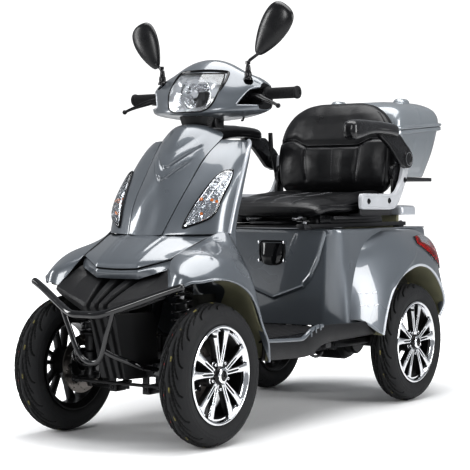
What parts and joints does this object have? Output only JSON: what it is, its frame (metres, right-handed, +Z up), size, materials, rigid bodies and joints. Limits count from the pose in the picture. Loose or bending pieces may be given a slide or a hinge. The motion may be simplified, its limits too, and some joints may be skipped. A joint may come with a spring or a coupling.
{
  "type": "mobility scooter",
  "caption": "Mobility scooter with a shrouded front, steering handlebar, flat footwell, sliding seat with lift-up armrests, backrest and a rear luggage box.",
  "frame": {"origin": "on the ground, under the centre of the object's bounding box", "axes": "+Z up, +Y towards the rear, +X to the rider's left; the scooter drives towards -Y"},
  "size_m": [0.676, 1.8784, 1.3337],
  "materials": {
    "frame_steel": "satin black powder coat",
    "black_plastic": "fine-grained moulding",
    "battery_case": "plain moulding",
    "grey_paint": "metallic grey paint under clear coat",
    "pale_grey_paint": "light grey gloss moulding",
    "clear_lens": "clear polycarbonate",
    "red_lens": "red polycarbonate",
    "gloss_black": "gloss black",
    "tyre_rubber": "matt rubber with tread",
    "grip_rubber": "ribbed rubber",
    "chrome": "polished",
    "leather": "black grained artificial leather",
    "white_plastic": "white gloss"
  },
  "bodies": {
    "root": {"chassis_frame": "frame_steel", "floor_pan": "black_plastic", "battery_pack": "battery_case", "front_apron": "grey_paint", "apron_side_left": "grey_paint", "apron_side_right": "grey_paint", "indicator_left": "clear_lens", "indicator_right": "clear_lens", "leg_shield": "pale_grey_paint", "hood": "grey_paint", "front_fender_left": "grey_paint", "front_fender_right": "grey_paint", "nose_snout": "black_plastic", "nose_skirt": "black_plastic", "bumper_bar": "gloss_black", "seat_box": "grey_paint", "rear_fender_left": "grey_paint", "rear_fender_right": "grey_paint", "tail_light_left": "red_lens", "tail_light_right": "red_lens", "seat_rails": "frame_steel"},
    "seat_box_latch": {"seat_box_latch": "gloss_black"},
    "steering": {"steering_column": "frame_steel", "nacelle_front": "grey_paint", "nacelle_rear": "black_plastic", "headlight": "clear_lens", "grip_left": "grip_rubber"},
    "throttle_grip": {"grip_right": "grip_rubber"},
    "horn_button": {"horn_button": "grip_rubber"},
    "tie_rod": {"tie_rod": "frame_steel"},
    "rear_axle": {"rear_axle": "frame_steel"},
    "seat": {"seat_frame": "frame_steel", "seat_cushion": "leather", "backrest": "leather", "side_bracket_left": "white_plastic", "side_bracket_right": "white_plastic", "top_box": "grey_paint"},
    "recline_lever": {"recline_lever": "black_plastic"},
    "slide_lever": {"slide_lever": "frame_steel"},
    "box_lid": {"top_box_lid": "grey_paint"},
    "brake_lever_left": {"brake_lever_left": "black_plastic"},
    "mirror_left": {"mirror_left": "black_plastic"},
    "strut_left": {"strut_left": "frame_steel"},
    "knuckle_left": {"knuckle_left": "frame_steel"},
    "lower_arm_left": {"lower_arm_left": "frame_steel"},
    "front_wheel_left": {"front_tyre_left": "tyre_rubber", "front_rim_left": "chrome"},
    "rear_wheel_left": {"rear_tyre_left": "tyre_rubber", "rear_rim_left": "chrome"},
    "armrest_left": {"armrest_left": "black_plastic"},
    "brake_lever_right": {"brake_lever_right": "black_plastic"},
    "mirror_right": {"mirror_right": "black_plastic"},
    "strut_right": {"strut_right": "frame_steel"},
    "knuckle_right": {"knuckle_right": "frame_steel"},
    "lower_arm_right": {"lower_arm_right": "frame_steel"},
    "front_wheel_right": {"front_tyre_right": "tyre_rubber", "front_rim_right": "chrome"},
    "rear_wheel_right": {"rear_tyre_right": "tyre_rubber", "rear_rim_right": "chrome"},
    "armrest_right": {"armrest_right": "black_plastic"}
  },
  "joints": [
    {"name": "steer", "type": "hinge", "parent": "root", "child": "steering", "pos_m": [0, -0.35081, 1.04], "axis": [0, 0.3419, 0.9398], "range_deg": [-28, 28]},
    {"name": "tie_rod_slide", "type": "slide", "parent": "root", "child": "tie_rod", "axis": [1, 0, 0], "range_m": [-0.0275, 0.0275]},
    {"name": "strut_slide_left", "type": "slide", "parent": "root", "child": "strut_left", "axis": [0, 0, 1], "range_m": [-0.025, 0.025], "stiffness_N_per_m": 30000, "springref_m": -0.0125},
    {"name": "knuckle_turn_left", "type": "hinge", "parent": "strut_left", "child": "knuckle_left", "pos_m": [0.17, -0.69381, 0.207], "axis": [0, 0, 1], "range_deg": [-23, 23]},
    {"name": "front_wheel_spin_left", "type": "hinge", "parent": "knuckle_left", "child": "front_wheel_left", "pos_m": [0.27, -0.69381, 0.207], "axis": [1, 0, 0], "continuous": true},
    {"name": "lower_arm_swing_left", "type": "hinge", "parent": "root", "child": "lower_arm_left", "pos_m": [0.062, -0.69381, 0.15], "axis": [0, -1, 0], "range_deg": [-13.5, 13.5]},
    {"name": "strut_slide_right", "type": "slide", "parent": "root", "child": "strut_right", "axis": [0, 0, 1], "range_m": [-0.025, 0.025], "stiffness_N_per_m": 30000, "springref_m": -0.0125},
    {"name": "knuckle_turn_right", "type": "hinge", "parent": "strut_right", "child": "knuckle_right", "pos_m": [-0.17, -0.69381, 0.207], "axis": [0, 0, 1], "range_deg": [-23, 23]},
    {"name": "front_wheel_spin_right", "type": "hinge", "parent": "knuckle_right", "child": "front_wheel_right", "pos_m": [-0.27, -0.69381, 0.207], "axis": [1, 0, 0], "continuous": true},
    {"name": "lower_arm_swing_right", "type": "hinge", "parent": "root", "child": "lower_arm_right", "pos_m": [-0.062, -0.69381, 0.15], "axis": [0, 1, 0], "range_deg": [-13.5, 13.5]},
    {"name": "rear_swing", "type": "hinge", "parent": "root", "child": "rear_axle", "pos_m": [0, 0.20919, 0.21], "axis": [1, 0, 0], "range_deg": [-3.5, 3.5], "stiffness_Nm_per_rad": 9000, "springref_deg": -1.43},
    {"name": "rear_wheel_spin_left", "type": "hinge", "parent": "rear_axle", "child": "rear_wheel_left", "pos_m": [0.292, 0.47219, 0.207], "axis": [1, 0, 0], "continuous": true},
    {"name": "rear_wheel_spin_right", "type": "hinge", "parent": "rear_axle", "child": "rear_wheel_right", "pos_m": [-0.292, 0.47219, 0.207], "axis": [1, 0, 0], "continuous": true},
    {"name": "throttle_twist", "type": "hinge", "parent": "steering", "child": "throttle_grip", "pos_m": [-0.27, -0.29681, 1.035], "axis": [-1, 0, 0], "range_deg": [0, 70], "stiffness_Nm_per_rad": 0.3},
    {"name": "brake_lever_pull_left", "type": "hinge", "parent": "steering", "child": "brake_lever_left", "pos_m": [0.207, -0.32482, 1.024], "axis": [0, 0, 1], "range_deg": [0, 18], "stiffness_Nm_per_rad": 0.5},
    {"name": "mirror_swivel_left", "type": "hinge", "parent": "steering", "child": "mirror_left", "pos_m": [0.166, -0.34481, 1.092], "axis": [0, 0, 1], "range_deg": [-25, 25]},
    {"name": "brake_lever_pull_right", "type": "hinge", "parent": "steering", "child": "brake_lever_right", "pos_m": [-0.207, -0.32482, 1.024], "axis": [0, 0, -1], "range_deg": [0, 18], "stiffness_Nm_per_rad": 0.5},
    {"name": "mirror_swivel_right", "type": "hinge", "parent": "steering", "child": "mirror_right", "pos_m": [-0.166, -0.34481, 1.092], "axis": [0, 0, 1], "range_deg": [-25, 25]},
    {"name": "horn_press", "type": "slide", "parent": "steering", "child": "horn_button", "axis": [0, -0.8944, -0.4472], "range_m": [0, 0.004], "stiffness_N_per_m": 500},
    {"name": "seat_slide", "type": "slide", "parent": "root", "child": "seat", "axis": [0, 1, 0], "range_m": [-0.05, 0.05]},
    {"name": "armrest_lift_left", "type": "hinge", "parent": "seat", "child": "armrest_left", "pos_m": [0.279, 0.48918, 0.85], "axis": [-1, 0, 0], "range_deg": [0, 85]},
    {"name": "armrest_lift_right", "type": "hinge", "parent": "seat", "child": "armrest_right", "pos_m": [-0.279, 0.48918, 0.85], "axis": [-1, 0, 0], "range_deg": [0, 85]},
    {"name": "recline_lever_pull", "type": "hinge", "parent": "seat", "child": "recline_lever", "pos_m": [-0.246, 0.46919, 0.77], "axis": [1, 0, 0], "range_deg": [0, 20], "stiffness_Nm_per_rad": 1},
    {"name": "slide_lever_lift", "type": "hinge", "parent": "seat", "child": "slide_lever", "pos_m": [0, 0.10418, 0.63], "axis": [-1, 0, 0], "range_deg": [0, 8], "stiffness_Nm_per_rad": 2},
    {"name": "box_lid_open", "type": "hinge", "parent": "seat", "child": "box_lid", "pos_m": [0, 0.93919, 0.99], "axis": [-1, 0, 0], "range_deg": [0, 75]},
    {"name": "seat_box_latch_lift", "type": "hinge", "parent": "root", "child": "seat_box_latch", "pos_m": [0, 0.04618, 0.558], "axis": [-1, 0, 0], "range_deg": [0, 30]}
  ],
  "couplings": [
    {"joint": "tie_rod_slide", "follows": "steer", "m_per_rad": 0.056},
    {"joint": "knuckle_turn_left", "follows": "steer", "ratio": 0.8},
    {"joint": "lower_arm_swing_left", "follows": "strut_slide_left", "rad_per_m": 9.2593},
    {"joint": "knuckle_turn_right", "follows": "steer", "ratio": 0.8},
    {"joint": "lower_arm_swing_right", "follows": "strut_slide_right", "rad_per_m": 9.2593}
  ]
}
